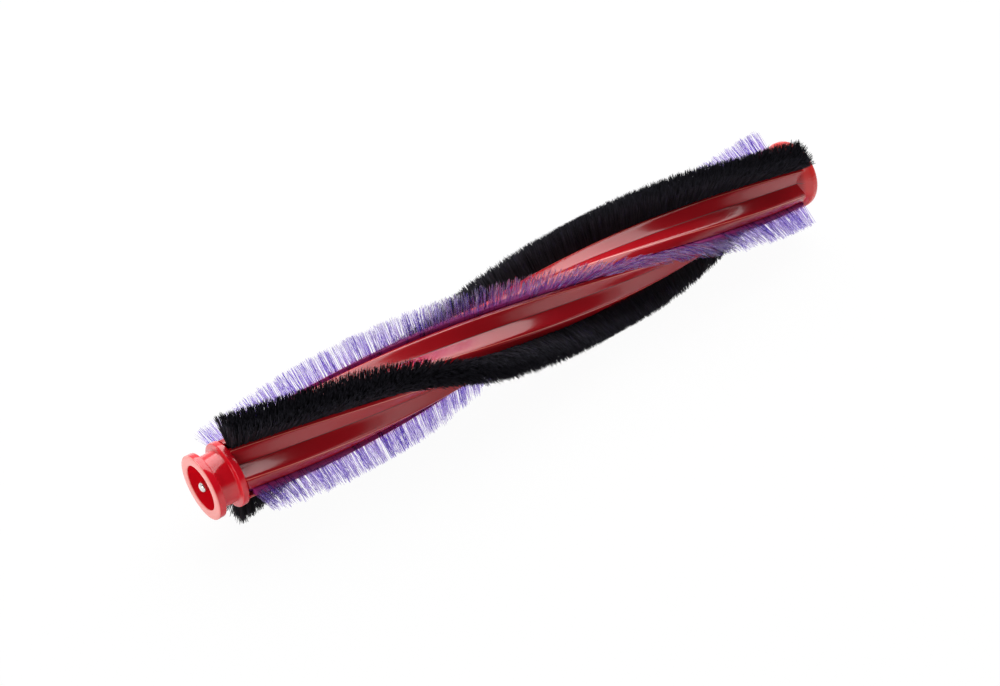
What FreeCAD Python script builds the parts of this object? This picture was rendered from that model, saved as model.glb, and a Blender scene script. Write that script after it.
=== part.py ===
# Brush roll of a cordless stick vacuum: a red moulded core with four helical
# strips of bristle in T-slots, a pressed-in spool cap with a steel axle pin at
# the near end and a moulded drive collar at the far end.
# Frame: the rotation axis is X, from the near end to the far end, and Z is up.
# The origin is on the axis in the floor of the cup, where the axle pin stands out.
# The roll lies on its bristles. Each body is drawn with x = 0 in the front face of
# the cap, and its placement moves it to the frame.
# Strip angles are measured from straight up, right-handed about +X.

import FreeCAD, Part
import Sketcher
import os

OUTPUT_FOLDER = "parts"
ROUND = 360.0

DIMENSIONS = [
    # Whole roll
    ("OverallLength", 225.0, "near cap face to far collar face"),
    ("TipRadius", 18.0, "axis to the tips of every strip"),
    ("HelixPitch", 353.0, "length in which a strip would make a full turn"),
    ("StripPhase", -101.1, "angle of the first strip in the plane x = 0"),
    ("StripCount", 4, "strips, slots and grooves round the core"),
    ("FlatDepth", 0.3, "how far the pile is pressed flat where it lies"),
    # Spool cap
    ("FlangeRadius", 9.6, "both flanges of the cap"),
    ("FrontFlangeWidth", 2.3, "front flange, which is the cup's rim"),
    ("NeckDepth", 1.9, "flange rims down to the neck between them"),
    ("NeckLength", 5.2, "neck between the flanges"),
    ("RearFlangeWidth", 2.0, "rear flange, which seats on the core"),
    ("CupWall", 1.0, "neck down to the blind cup inside it"),
    ("CupDepth", 8.4, "front face to the floor of the cup"),
    ("CupChamfer", 0.3, "chamfer at the mouth of the cup"),
    ("PlugLength", 14.0, "plug pressed into the core"),
    ("PlugChamfer", 0.6, "lead-in of the plug"),
    ("RimChamfer", 0.35, "broken rims of the flanges"),
    # Axle pin
    ("PinRadius", 1.5, "free end of the steel axle pin"),
    ("PinShoulder", 0.25, "step up to the thicker end held in the cap"),
    ("PinSeat", 11.0, "length of the pin held in the cap"),
    ("PinTipChamfer", 0.5, "bevelled tip of the pin"),
    ("PinTailChamfer", 0.3, "chamfer at the held end of the pin"),
    # Fits
    ("SeatGap", 0.02, "gap per side between pressed pieces"),
    ("BoreEndGap", 0.5, "space left behind the plug and the pin"),
    ("StripGap", 0.05, "gap per side of a backing in its slot"),
    # Core
    ("LandRadius", 9.9, "top of the lands between the grooves"),
    ("GrooveDepth", 2.45, "lands down to the bottom of the V-grooves"),
    ("GrooveLeadAngle", 13.5, "strip centre to the first edge of the groove"),
    ("GrooveValleyAngle", 37.4, "strip centre to the bottom of the groove"),
    ("GrooveTrailAngle", 64.4, "strip centre to the last edge of the groove"),
    ("LandBevel", 0.3, "broken edges of the lands"),
    # Slots
    ("MouthWidth", 2.5, "mouth of a T-slot"),
    ("ChannelWidth", 4.2, "wide lower part of a T-slot"),
    ("LipThickness", 1.6, "lip over the wide part of a T-slot"),
    ("ChannelDepth", 1.8, "height of the wide part of a T-slot"),
    ("SlotFloor", 1.28, "core left between a T-slot and the plug's bore"),
    # Far collar
    ("CollarHeight", 1.5, "lands up to the rim of the collar"),
    ("CollarWidth", 3.6, "land end to the far face"),
    ("RampAngle", 48.0, "slope that ends the grooves, from the axis"),
    ("CollarRound", 1.1, "far edge of the collar, rounded off in two bevels"),
    # Drive socket
    ("RegisterRadius", 7.6, "plain counterbore at the socket's mouth"),
    ("RegisterDepth", 3.0, "plain counterbore at the socket's mouth"),
    ("SocketRadius", 4.6, "round part of the drive socket"),
    ("SocketDepth", 13.0, "far face to the floor of the socket"),
    ("FluteCount", 6, "rounded flutes of the drive socket"),
    ("FluteRadius", 1.1, "radius of a flute"),
    ("FluteCentre", 4.7, "axis to the centre of a flute"),
    # Strips
    ("StripStart", 0.8, "rear flange to the near end of the strips"),
    ("PileBase", 2.2, "width of a pile at its backing"),
    ("PurpleTipWidth", 4.2, "width of the stiff purple bristles at the tips"),
    ("BlackTipWidth", 9.4, "width of the soft black pile at the tips"),
    ("BlackShoulder", 2.2, "rounding of the black pile's edges"),
    ("TuftCount", 81, "tufts along a purple strip"),
    ("TuftGap", 0.5, "gap between two purple tufts"),
    ("TuftRoot", 1.5, "lands up to where the purple tufts part"),
]

doc = FreeCAD.newDocument("BrushRoll")
sheet = doc.addObject("Spreadsheet::Sheet", "Dimensions")
for row, (alias, number, meaning) in enumerate(DIMENSIONS, start=1):
    sheet.set("A%d" % row, meaning)
    sheet.set("B%d" % row, str(number))
    sheet.setAlias("B%d" % row, alias)
doc.recompute()

# Lengths that follow from the driving dimensions
CAP_LENGTH = "(Dimensions.FrontFlangeWidth + Dimensions.NeckLength + Dimensions.RearFlangeWidth)"
LAND_END = "(Dimensions.OverallLength - Dimensions.CollarWidth)"
STRIP_NEAR = "(%s + Dimensions.StripStart)" % CAP_LENGTH
STRIP_LENGTH = "(%s - %s)" % (LAND_END, STRIP_NEAR)
CHANNEL_TOP = "(Dimensions.LandRadius - Dimensions.LipThickness)"
CHANNEL_FLOOR = "(%s - Dimensions.ChannelDepth)" % CHANNEL_TOP
BACKING_TOP = "(%s - Dimensions.StripGap)" % CHANNEL_TOP
NECK_RADIUS = "(Dimensions.FlangeRadius - Dimensions.NeckDepth)"
CUP_RADIUS = "(%s - Dimensions.CupWall)" % NECK_RADIUS
BORE_RADIUS = "(%s - Dimensions.SlotFloor)" % CHANNEL_FLOOR
PLUG_RADIUS = "(%s - Dimensions.SeatGap)" % BORE_RADIUS
HELD_PIN_RADIUS = "(Dimensions.PinRadius + Dimensions.PinShoulder)"
VALLEY_RADIUS = "(Dimensions.LandRadius - Dimensions.GrooveDepth)"
COLLAR_RADIUS = "(Dimensions.LandRadius + Dimensions.CollarHeight)"
REST_HEIGHT = "(Dimensions.TipRadius - Dimensions.FlatDepth)"
TUFT_PITCH = "(%s / Dimensions.TuftCount)" % STRIP_LENGTH


def number(expression):
    """Value of an expression on the sheet, as a plain number."""
    value = sheet.evalExpression(expression)
    return float(getattr(value, "Value", value))


def size(alias):
    """A name on the sheet, written as an expression."""
    return "Dimensions." + alias


def origin_feature(body, role):
    """The body's own plane or axis with this role."""
    for feature in body.Origin.OriginFeatures:
        if feature.Role == role:
            return feature
    raise RuntimeError("no origin feature " + role)


def new_body(node):
    """A body whose label is the name of its node, placed in the roll's frame."""
    body = doc.addObject("PartDesign::Body", node)
    body.Label = node
    body.setExpression("Placement.Base.x", "-Dimensions.CupDepth")
    return body


def new_sketch(body, name, role, station="0", angle="0"):
    """A sketch on an origin plane, moved along its normal and turned about it."""
    sketch = body.newObject("Sketcher::SketchObject", name)
    sketch.AttachmentSupport = [(origin_feature(body, role), "")]
    sketch.MapMode = "FlatFace"
    turn = FreeCAD.Rotation(FreeCAD.Vector(0, 0, 1), number(angle))
    shift = FreeCAD.Vector(0, 0, number(station))
    sketch.AttachmentOffset = FreeCAD.Placement(shift, turn)
    sketch.setExpression("AttachmentOffset.Base.z", station)
    sketch.setExpression("AttachmentOffset.Rotation.Angle", angle)
    return sketch


def pin_point(sketch, geometry, end, corner):
    """Ties one end of a line to a pair of expressions."""
    for axis, expression in zip(("DistanceX", "DistanceY"), corner):
        rule = Sketcher.Constraint(axis, -1, 1, geometry, end, number(expression))
        index = sketch.addConstraint(rule)
        sketch.setExpression("Constraints[%d]" % index, expression)


def outline(sketch, corners):
    """A closed outline of straight lines through corners given as expressions."""
    points = [FreeCAD.Vector(number(u), number(v), 0) for u, v in corners]
    count = len(points)
    for i in range(count):
        sketch.addGeometry(Part.LineSegment(points[i], points[(i + 1) % count]), False)
    for i in range(count):
        sketch.addConstraint(Sketcher.Constraint("Coincident", i, 2, (i + 1) % count, 1))
    for i, corner in enumerate(corners):
        pin_point(sketch, i, 1, corner)
    return sketch


def polar(radius, angle):
    """A point of a section, by radius and angle from the strip's centre line."""
    return ("-(%s) * sin(%s)" % (radius, angle), "(%s) * cos(%s)" % (radius, angle))


def revolved(body, name, kind, corners):
    """A half profile in the XZ plane, turned about the roll's axis."""
    sketch = outline(new_sketch(body, name + "Profile", "XZ_Plane"), corners)
    feature = body.newObject(kind, name)
    feature.Profile = sketch
    feature.ReferenceAxis = (origin_feature(body, "X_Axis"), [""])
    feature.Angle = ROUND
    body.Tip = feature
    doc.recompute()
    return feature


def screwed(body, name, kind, sketch, length):
    """A section carried along the helix of the strips."""
    feature = body.newObject(kind, name)
    feature.Profile = sketch
    feature.ReferenceAxis = (origin_feature(body, "X_Axis"), [""])
    feature.Mode = "pitch-height-angle"
    feature.setExpression("Pitch", size("HelixPitch"))
    feature.setExpression("Height", length)
    feature.LeftHanded = False
    feature.Reversed = False
    body.Tip = feature
    doc.recompute()
    return feature


def repeated(body, name, feature, count):
    """Copies of a feature, evenly spaced round the roll's axis."""
    pattern = body.newObject("PartDesign::PolarPattern", name)
    pattern.Originals = [feature]
    pattern.Axis = (origin_feature(body, "X_Axis"), [""])
    pattern.Angle = ROUND
    pattern.setExpression("Occurrences", count)
    body.Tip = pattern
    doc.recompute()
    return pattern


def circle_edges(feature, wanted):
    """Names of the round edges that match a station along X and a radius."""
    names = []
    for index, edge in enumerate(feature.Shape.Edges, start=1):
        curve = edge.Curve
        if not isinstance(curve, Part.Circle):
            continue
        for station, radius in wanted:
            near = abs(curve.Center.x - number(station)) < 1e-4
            if near and abs(curve.Radius - number(radius)) < 1e-4:
                names.append("Edge%d" % index)
    if not names:
        raise RuntimeError("no edge found on " + feature.Label)
    return names


def chamfered(body, name, feature, edges, alias):
    """A chamfer on named edges, its size taken from the sheet."""
    chamfer = body.newObject("PartDesign::Chamfer", name)
    chamfer.Base = (feature, edges)
    chamfer.setExpression("Size", size(alias))
    body.Tip = chamfer
    doc.recompute()
    return chamfer


def make_near_end_cap():
    """Spool cap: a cup between two flanges, on a plug that fits the core."""
    body = new_body("near_end_cap")
    neck_start = size("FrontFlangeWidth")
    neck_end = "%s + %s" % (neck_start, size("NeckLength"))
    plug_end = "%s + %s" % (CAP_LENGTH, size("PlugLength"))
    hole_end = "%s + %s + %s" % (size("CupDepth"), size("PinSeat"), size("BoreEndGap"))
    hole_radius = "%s + %s" % (HELD_PIN_RADIUS, size("SeatGap"))
    corners = [
        ("0", "%s + %s" % (CUP_RADIUS, size("CupChamfer"))),
        ("0", size("FlangeRadius")),
        (neck_start, size("FlangeRadius")),
        (neck_start, NECK_RADIUS),
        (neck_end, NECK_RADIUS),
        (neck_end, size("FlangeRadius")),
        (CAP_LENGTH, size("FlangeRadius")),
        (CAP_LENGTH, PLUG_RADIUS),
        ("%s - %s" % (plug_end, size("PlugChamfer")), PLUG_RADIUS),
        (plug_end, "%s - %s" % (PLUG_RADIUS, size("PlugChamfer"))),
        (plug_end, "0"),
        (hole_end, "0"),
        (hole_end, hole_radius),
        (size("CupDepth"), hole_radius),
        (size("CupDepth"), CUP_RADIUS),
        (size("CupChamfer"), CUP_RADIUS),
    ]
    spool = revolved(body, "Spool", "PartDesign::Revolution", corners)
    rims = [
        ("0", size("FlangeRadius")),
        (neck_start, size("FlangeRadius")),
        (neck_end, size("FlangeRadius")),
        (CAP_LENGTH, size("FlangeRadius")),
    ]
    chamfered(body, "Rims", spool, circle_edges(spool, rims), "RimChamfer")
    return body


def make_axle_pin():
    """Steel pin on the axis: its bevelled free end stands in the cup, its thicker end is held."""
    body = new_body("axle_pin")
    tail = "%s + %s" % (size("CupDepth"), size("PinSeat"))
    corners = [
        ("0", "0"),
        ("0", size("PinRadius")),
        (size("CupDepth"), size("PinRadius")),
        (size("CupDepth"), HELD_PIN_RADIUS),
        (tail, HELD_PIN_RADIUS),
        (tail, "0"),
    ]
    rod = revolved(body, "Rod", "PartDesign::Revolution", corners)
    tip = circle_edges(rod, [("0", size("PinRadius"))])
    bevelled = chamfered(body, "Tip", rod, tip, "PinTipChamfer")
    end = circle_edges(bevelled, [(tail, HELD_PIN_RADIUS)])
    chamfered(body, "Tail", bevelled, end, "PinTailChamfer")
    return body


def groove_point(angle, share):
    """A point on the side of the V-groove: share 0 is its bottom, 1 the land's edge."""
    edge = polar(size("LandRadius"), angle)
    valley = polar(VALLEY_RADIUS, size("GrooveValleyAngle"))
    return tuple("(%s) + %s * ((%s) - (%s))" % (v, share, e, v) for e, v in zip(edge, valley))


def make_brush_core():
    """Core: twisted lands and V-grooves that run out on the drive collar."""
    body = new_body("brush_core")
    bar = [
        (CAP_LENGTH, "0"),
        (CAP_LENGTH, size("LandRadius")),
        (size("OverallLength"), size("LandRadius")),
        (size("OverallLength"), "0"),
    ]
    revolved(body, "Bar", "PartDesign::Revolution", bar)

    # One V-groove, cut past the land's end, then repeated round the bar
    section = new_sketch(body, "GrooveSection", "YZ_Plane", angle=size("StripPhase"))
    below_edge = "(1 - %s / %s)" % (size("LandBevel"), size("GrooveDepth"))
    bevel_angle = "180 / pi * %s / %s" % (size("LandBevel"), size("LandRadius"))
    lead = "%s - %s" % (size("GrooveLeadAngle"), bevel_angle)
    trail = "%s + %s" % (size("GrooveTrailAngle"), bevel_angle)
    above = "1.5 * %s" % size("LandRadius")
    groove_sides = [
        polar(VALLEY_RADIUS, size("GrooveValleyAngle")),
        groove_point(size("GrooveTrailAngle"), below_edge),
        polar(size("LandRadius"), trail),
        polar(above, trail),
        polar(above, lead),
        polar(size("LandRadius"), lead),
        groove_point(size("GrooveLeadAngle"), below_edge),
    ]
    outline(section, groove_sides)
    groove_length = size("OverallLength")
    groove = screwed(body, "Groove", "PartDesign::SubtractiveHelix", section, groove_length)
    repeated(body, "Grooves", groove, size("StripCount"))

    # The collar's cone fills the grooves again and makes their sloping ends
    fall = "(%s - %s)" % (size("LandRadius"), PLUG_RADIUS)
    slope = "tan(%s)" % size("RampAngle")
    half_way = "(1 - sin(45)) * %s" % size("CollarRound")
    collar = [
        ("%s - %s / %s" % (LAND_END, fall, slope), "0"),
        ("%s - %s / %s" % (LAND_END, fall, slope), PLUG_RADIUS),
        ("%s + %s / %s" % (LAND_END, size("CollarHeight"), slope), COLLAR_RADIUS),
        ("%s - %s" % (size("OverallLength"), size("CollarRound")), COLLAR_RADIUS),
        ("%s - %s" % (size("OverallLength"), half_way), "%s - %s" % (COLLAR_RADIUS, half_way)),
        (size("OverallLength"), "%s - %s" % (COLLAR_RADIUS, size("CollarRound"))),
        (size("OverallLength"), "0"),
    ]
    revolved(body, "Collar", "PartDesign::Revolution", collar)

    # T-slots, open at the near end and closed by the collar
    slot_section = new_sketch(body, "SlotSection", "YZ_Plane", angle=size("StripPhase"))
    half_mouth = "%s / 2" % size("MouthWidth")
    half_channel = "%s / 2" % size("ChannelWidth")
    right_side = [
        (half_channel, CHANNEL_FLOOR),
        (half_channel, CHANNEL_TOP),
        (half_mouth, CHANNEL_TOP),
        (half_mouth, above),
    ]
    left_side = [("-(%s)" % u, v) for u, v in reversed(right_side)]
    outline(slot_section, right_side + left_side)
    slot_length = "%s + %s" % (LAND_END, size("StripGap"))
    slot = screwed(body, "Slot", "PartDesign::SubtractiveHelix", slot_section, slot_length)
    repeated(body, "Slots", slot, size("StripCount"))

    # Bore for the cap's plug
    bore_end = "%s + %s + %s" % (CAP_LENGTH, size("PlugLength"), size("BoreEndGap"))
    bore = [
        (CAP_LENGTH, "0"),
        (CAP_LENGTH, BORE_RADIUS),
        (bore_end, BORE_RADIUS),
        (bore_end, "0"),
    ]
    revolved(body, "PlugBore", "PartDesign::Groove", bore)

    # Drive socket: a plain register at its mouth, then a bore with flutes
    register_floor = "%s - %s" % (size("OverallLength"), size("RegisterDepth"))
    socket_floor = "%s - %s" % (size("OverallLength"), size("SocketDepth"))
    socket = [
        (socket_floor, "0"),
        (socket_floor, size("SocketRadius")),
        (register_floor, size("SocketRadius")),
        (register_floor, size("RegisterRadius")),
        (size("OverallLength"), size("RegisterRadius")),
        (size("OverallLength"), "0"),
    ]
    revolved(body, "Socket", "PartDesign::Groove", socket)
    flute = body.newObject("PartDesign::SubtractiveCylinder", "Flute")
    flute.setExpression("Radius", size("FluteRadius"))
    flute.setExpression("Height", "%s - %s" % (size("SocketDepth"), size("RegisterDepth")))
    along_axis = FreeCAD.Rotation(FreeCAD.Vector(0, 1, 0), 90)
    flute.Placement = FreeCAD.Placement(FreeCAD.Vector(0, 0, 0), along_axis)
    flute.setExpression("Placement.Base.x", socket_floor)
    flute.setExpression("Placement.Base.z", size("FluteCentre"))
    body.Tip = flute
    doc.recompute()
    repeated(body, "Flutes", flute, size("FluteCount"))
    return body


def strip_angle(place):
    """Angle of a strip at its near end, for its place round the core."""
    first = "%s + 360 * %s / %s" % (size("StripPhase"), STRIP_NEAR, size("HelixPitch"))
    return "%s + 360 * %d / %s" % (first, place, size("StripCount"))


def make_backing(node, place):
    """Flat flexible backing of a strip, slid into its T-slot."""
    body = new_body(node)
    section = new_sketch(body, node + "_section", "YZ_Plane", STRIP_NEAR, strip_angle(place))
    half = "(%s / 2 - %s)" % (size("ChannelWidth"), size("StripGap"))
    low = "(%s + %s)" % (CHANNEL_FLOOR, size("StripGap"))
    corners = [(half, low), (half, BACKING_TOP), ("-" + half, BACKING_TOP), ("-" + half, low)]
    outline(section, corners)
    screwed(body, node + "_strip", "PartDesign::AdditiveHelix", section, STRIP_LENGTH)
    return body


def tip_height(half_width):
    """Height of a strip's flat top, whose edges lie on the tip radius."""
    return "sqrt(%s ^ 2 - (%s) ^ 2)" % (size("TipRadius"), half_width)


def make_pile(node, place, tips):
    """Outer form of a strip's bristles: it fans out from the slot to its tips, given for one side."""
    body = new_body(node)
    section = new_sketch(body, node + "_section", "YZ_Plane", STRIP_NEAR, strip_angle(place))
    root = "(%s + %s)" % (BACKING_TOP, size("SeatGap"))
    half_root = "%s / 2" % size("PileBase")
    right_side = [(half_root, root), (half_root, size("LandRadius"))] + tips
    left_side = [("-(%s)" % u, v) for u, v in reversed(right_side)]
    outline(section, right_side + left_side)
    screwed(body, node + "_fan", "PartDesign::AdditiveHelix", section, STRIP_LENGTH)
    return body


def part_tufts(body):
    """Gaps that part a strip of stiff bristles into a row of tufts above its roots."""
    first = "(%s + %s)" % (STRIP_NEAR, TUFT_PITCH)
    near = "%s - %s / 2" % (first, size("TuftGap"))
    far = "%s + %s / 2" % (first, size("TuftGap"))
    low = "%s + %s" % (size("LandRadius"), size("TuftRoot"))
    above = "1.1 * %s" % size("TipRadius")
    corners = [(near, low), (near, above), (far, above), (far, low)]
    gap = revolved(body, body.Label + "_gap", "PartDesign::Groove", corners)
    row = body.newObject("PartDesign::LinearPattern", body.Label + "_gaps")
    row.Originals = [gap]
    row.Direction = (origin_feature(body, "X_Axis"), [""])
    row.setExpression("Length", "%s - 2 * %s" % (STRIP_LENGTH, TUFT_PITCH))
    row.setExpression("Occurrences", "%s - 1" % size("TuftCount"))
    body.Tip = row
    doc.recompute()


def press_flat(body):
    """Presses a pile flat where the roll lies on it."""
    floor = body.newObject("PartDesign::SubtractiveBox", body.Label + "_floor")
    floor.setExpression("Length", size("OverallLength"))
    floor.setExpression("Width", "2 * " + size("TipRadius"))
    floor.setExpression("Height", size("TipRadius"))
    floor.setExpression("Placement.Base.y", "-" + size("TipRadius"))
    floor.setExpression("Placement.Base.z", "-%s - %s" % (REST_HEIGHT, size("TipRadius")))
    body.Tip = floor
    doc.recompute()


half_purple = "%s / 2" % size("PurpleTipWidth")
half_black = "%s / 2" % size("BlackTipWidth")
black_crown = "%s - %s" % (half_black, size("BlackShoulder"))
purple_tips = [(half_purple, tip_height(half_purple))]
black_tips = [
    (half_black, "%s - %s" % (tip_height(black_crown), size("BlackShoulder"))),
    (black_crown, tip_height(black_crown)),
]
nodes = [make_near_end_cap(), make_axle_pin(), make_brush_core()]
for pair in (1, 2):
    purple_place = 2 * (pair - 1)
    black_place = purple_place + 1
    purple = make_pile("purple_bristles_%d" % pair, purple_place, purple_tips)
    black = make_pile("black_pile_%d" % pair, black_place, black_tips)
    part_tufts(purple)
    press_flat(purple)
    press_flat(black)
    nodes += [make_backing("purple_backing_%d" % pair, purple_place), purple]
    nodes += [make_backing("black_backing_%d" % pair, black_place), black]

doc.recompute()
for item in doc.Objects:
    if "Invalid" in item.State or "Error" in item.State:
        raise RuntimeError("failed feature " + item.Label)
for body in nodes:
    if body.Shape.isNull() or not body.Shape.isValid():
        raise RuntimeError("bad shape " + body.Label)
    if len(body.Shape.Solids) != 1:
        raise RuntimeError("not one solid " + body.Label)

os.makedirs(OUTPUT_FOLDER, exist_ok=True)
for body in nodes:
    body.Shape.exportStep(OUTPUT_FOLDER + "/" + body.Label + ".step")
    box = body.Shape.BoundBox
    print("%-18s volume %9.1f  x %7.2f %7.2f  y %6.2f %6.2f  z %6.2f %6.2f" % (
        body.Label, body.Shape.Volume, box.XMin, box.XMax, box.YMin, box.YMax, box.ZMin, box.ZMax))
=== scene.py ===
# Vacuum brush roll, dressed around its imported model.
# X is the rotation axis, from the cup end to the drive collar, and Z is up.
# All sizes are in metres.
# Strip angles are measured from straight up, right-handed about +X.
import math

import bmesh
import bpy
import numpy as np
from bpy.props import FloatProperty, FloatVectorProperty, IntProperty, PointerProperty
from mathutils import Matrix, Vector


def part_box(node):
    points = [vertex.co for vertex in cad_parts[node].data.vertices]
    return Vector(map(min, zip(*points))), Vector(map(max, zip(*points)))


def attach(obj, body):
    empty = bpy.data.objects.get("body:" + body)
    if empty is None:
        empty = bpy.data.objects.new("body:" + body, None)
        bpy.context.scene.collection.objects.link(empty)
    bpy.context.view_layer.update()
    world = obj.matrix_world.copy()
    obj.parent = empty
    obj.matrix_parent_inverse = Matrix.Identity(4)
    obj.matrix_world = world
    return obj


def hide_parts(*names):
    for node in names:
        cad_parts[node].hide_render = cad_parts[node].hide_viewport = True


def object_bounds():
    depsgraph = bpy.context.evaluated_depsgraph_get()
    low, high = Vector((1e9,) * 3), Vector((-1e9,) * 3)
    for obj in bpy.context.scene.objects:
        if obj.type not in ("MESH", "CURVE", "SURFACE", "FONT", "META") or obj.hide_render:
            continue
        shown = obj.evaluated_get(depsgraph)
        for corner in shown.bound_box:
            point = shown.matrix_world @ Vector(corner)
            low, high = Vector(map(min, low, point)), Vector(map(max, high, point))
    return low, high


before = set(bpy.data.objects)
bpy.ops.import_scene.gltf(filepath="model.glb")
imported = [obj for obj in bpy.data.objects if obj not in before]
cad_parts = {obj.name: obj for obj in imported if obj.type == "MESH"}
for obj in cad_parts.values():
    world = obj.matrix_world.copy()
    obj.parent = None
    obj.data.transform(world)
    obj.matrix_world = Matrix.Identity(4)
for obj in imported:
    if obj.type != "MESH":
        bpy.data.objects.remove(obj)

CAD_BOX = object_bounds()

# Stations along the axis, radii and heights that the frame gives
NEAR_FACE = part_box("near_end_cap")[0].x
FAR_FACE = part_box("brush_core")[1].x
CORE_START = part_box("brush_core")[0].x
PLUG_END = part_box("near_end_cap")[1].x
PIN_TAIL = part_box("axle_pin")[1].x
STRIP_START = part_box("black_backing_1")[0].x
STRIP_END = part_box("black_backing_1")[1].x
COLLAR_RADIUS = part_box("brush_core")[1].z
FLANGE_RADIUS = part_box("near_end_cap")[1].z
HELD_PIN_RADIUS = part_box("axle_pin")[1].z
FLOOR_HEIGHT = CAD_BOX[0].z
STRIPS = 4
QUARTER = 2 * math.pi / STRIPS

# How near a point counts as being on a ring, and how far a cutting tool reaches past its cut
ON_RING = 3e-6
OVERSHOOT = 0.001

# Length of one step of a twisted piece, cuts in its long faces, and the sharpest smooth edge
HELIX_STEP = 0.001
LONG_EDGE_CUTS = 3
SMOOTH_ANGLE = math.radians(30.0)

# Where a painted highlight or painted shade starts to fade and where it ends: depths behind the
# cap's face, and angles from a line on the core. The collar's painted glow grows over the length
# just before it.
FACE_HIGHLIGHT_DEPTHS = (0.00012, 0.00040)
EDGE_HIGHLIGHT_LINE, EDGE_HIGHLIGHT_STRENGTH = (0.006, 0.018), 0.85
GROOVE_SHADE_LINE = (0.006, 0.020)
COLLAR_GLOW_BLEND = 0.0015

# Station and reach of the places where black tips are combed over
NEAR_PARTING = (0.049, 0.024)
FAR_PARTING = (0.211, 0.014)

# Heights at which a bristle of height 1 bends, and the seed of each kind of strip
PURPLE_BENDS, BLACK_BENDS = (0.45, 0.96), (0.93,)
PURPLE_SEED, BLACK_SEED = 40, 60

# How tufts and bristles vary, as shares of the sizes in the settings
PITCH_SCATTER = 0.07
ACROSS_SCATTER = 0.14
SIDE_SCATTER = 0.5
TUFT_UNEVENNESS = 0.5
BRISTLE_UNEVENNESS = 0.85
SPLAY_REACH = 2.5
TAPER = 0.25
BRISTLE_SHADES, TUFT_SHADES = 0.8, 0.2

# How steeply a strip's crown falls off at its sides, and how far a tip may pass the crown
SHOULDER_POWER = 1.5
OVERREACH = 0.0003

# Centre and size of each lamp
OVERHEAD_BOX = (0.42, 0.30, 0.62), (1.2, 0.8)
NEAR_BOX = (-0.50, -0.18, 0.22), (0.4, 0.4)

bl_info = {
    "name": "Vacuum Brush Roll",
    "version": (1, 0, 0),
    "blender": (4, 5, 0),
    "location": "3D Viewport > Sidebar > Brush Roll",
    "description": "Models a brush roll with helical bristle strips round its packed frame",
    "category": "Object",
}


def length(name, description, default):
    """A size in metres, as a property."""
    return FloatProperty(
        name=name, description=description, default=default, precision=5, unit="LENGTH")


def angle(name, description, default):
    """An angle given in degrees and kept in radians, as a property."""
    return FloatProperty(
        name=name, description=description, default=math.radians(default), subtype="ANGLE")


def colour(name, description, default):
    """A linear colour, as a property."""
    return FloatVectorProperty(
        name=name, description=description, default=default, size=3, min=0.0, max=1.0,
        subtype="COLOR")


def count(name, description, default):
    """A whole number, as a property."""
    return IntProperty(name=name, description=description, default=default, min=1)


def amount(name, description, default):
    """A plain number, as a property."""
    return FloatProperty(name=name, description=description, default=default, min=0.0)


class CoreSizes(bpy.types.PropertyGroup):
    """Sizes of the moulded core and its drive collar."""

    helix_pitch: length("Helix pitch", "Length of one full turn of a strip", 0.353)
    first_strip: angle("First strip", "Angle of the first strip at the near face", -101.1)
    land_radius: length("Land radius", "Top of the lands", 0.0099)
    valley_radius: length("Valley radius", "Bottom of the V-grooves", 0.00745)
    lead_angle: angle("Lead angle", "Strip centre to the first edge of a groove", 13.5)
    valley_angle: angle("Valley angle", "Strip centre to the bottom of a groove", 37.4)
    trail_angle: angle("Trail angle", "Strip centre to the last edge of a groove", 64.4)
    lead_round: length("Lead rounding", "Rounding of a land's first edge", 0.00035)
    trail_round: length("Trail rounding", "Rounding of a land's last edge", 0.0008)
    valley_round: length("Valley rounding", "Rounding of the bottom of a groove", 0.00012)
    mouth_width: length("Slot mouth", "Mouth of a T-slot", 0.0025)
    channel_width: length("Slot channel", "Wide lower part of a T-slot", 0.0042)
    lip: length("Slot lip", "Lip over the wide part of a T-slot", 0.0016)
    channel_depth: length("Channel depth", "Height of the wide part of a T-slot", 0.0018)
    bore_radius: length("Plug bore", "Bore for the cap's plug", 0.00522)
    bore_gap: length("Bore end gap", "Space left behind the plug", 0.0005)
    collar_width: length("Collar width", "Land end to the far face", 0.0036)
    ramp_angle: angle("Ramp angle", "Slope that ends the grooves, from the axis", 48.0)
    collar_round: length("Collar rounding", "Rounded far edge of the collar", 0.0011)
    register_radius: length("Register radius", "Counterbore at the socket's mouth", 0.0076)
    register_depth: length("Register depth", "Counterbore at the socket's mouth", 0.003)
    socket_radius: length("Socket radius", "Round part of the drive socket", 0.0046)
    socket_depth: length("Socket depth", "Far face to the floor of the socket", 0.013)
    flutes: count("Flutes", "Rounded flutes of the drive socket", 6)
    flute_radius: length("Flute radius", "Radius of a flute", 0.0011)
    flute_centre: length("Flute centre", "Axis to the centre of a flute", 0.0047)


class CapSizes(bpy.types.PropertyGroup):
    """Sizes of the spool cap and its axle pin."""

    front_flange: length("Front flange", "Width of the flange round the cup", 0.0023)
    neck_length: length("Neck length", "Neck between the flanges", 0.0052)
    neck_radius: length("Neck radius", "Neck between the flanges", 0.0077)
    cup_radius: length("Cup radius", "Blind cup in the front", 0.0067)
    cup_depth: length("Cup depth", "Front face to the floor of the cup", 0.0084)
    plug_radius: length("Plug radius", "Plug pressed into the core", 0.0052)
    rim_round: length("Rim rounding", "Rounded rims of the flanges", 0.0003)
    neck_round: length("Neck rounding", "Fillets at the ends of the neck", 0.0003)
    pin_radius: length("Pin radius", "Free end of the axle pin", 0.0015)
    pin_dome: length("Pin dome", "Rounded tip of the axle pin", 0.0009)
    pin_gap: length("Pin gap", "Gap round the held end of the pin", 0.00002)
    pin_end_gap: length("Pin end gap", "Space left behind the pin", 0.0005)


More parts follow.
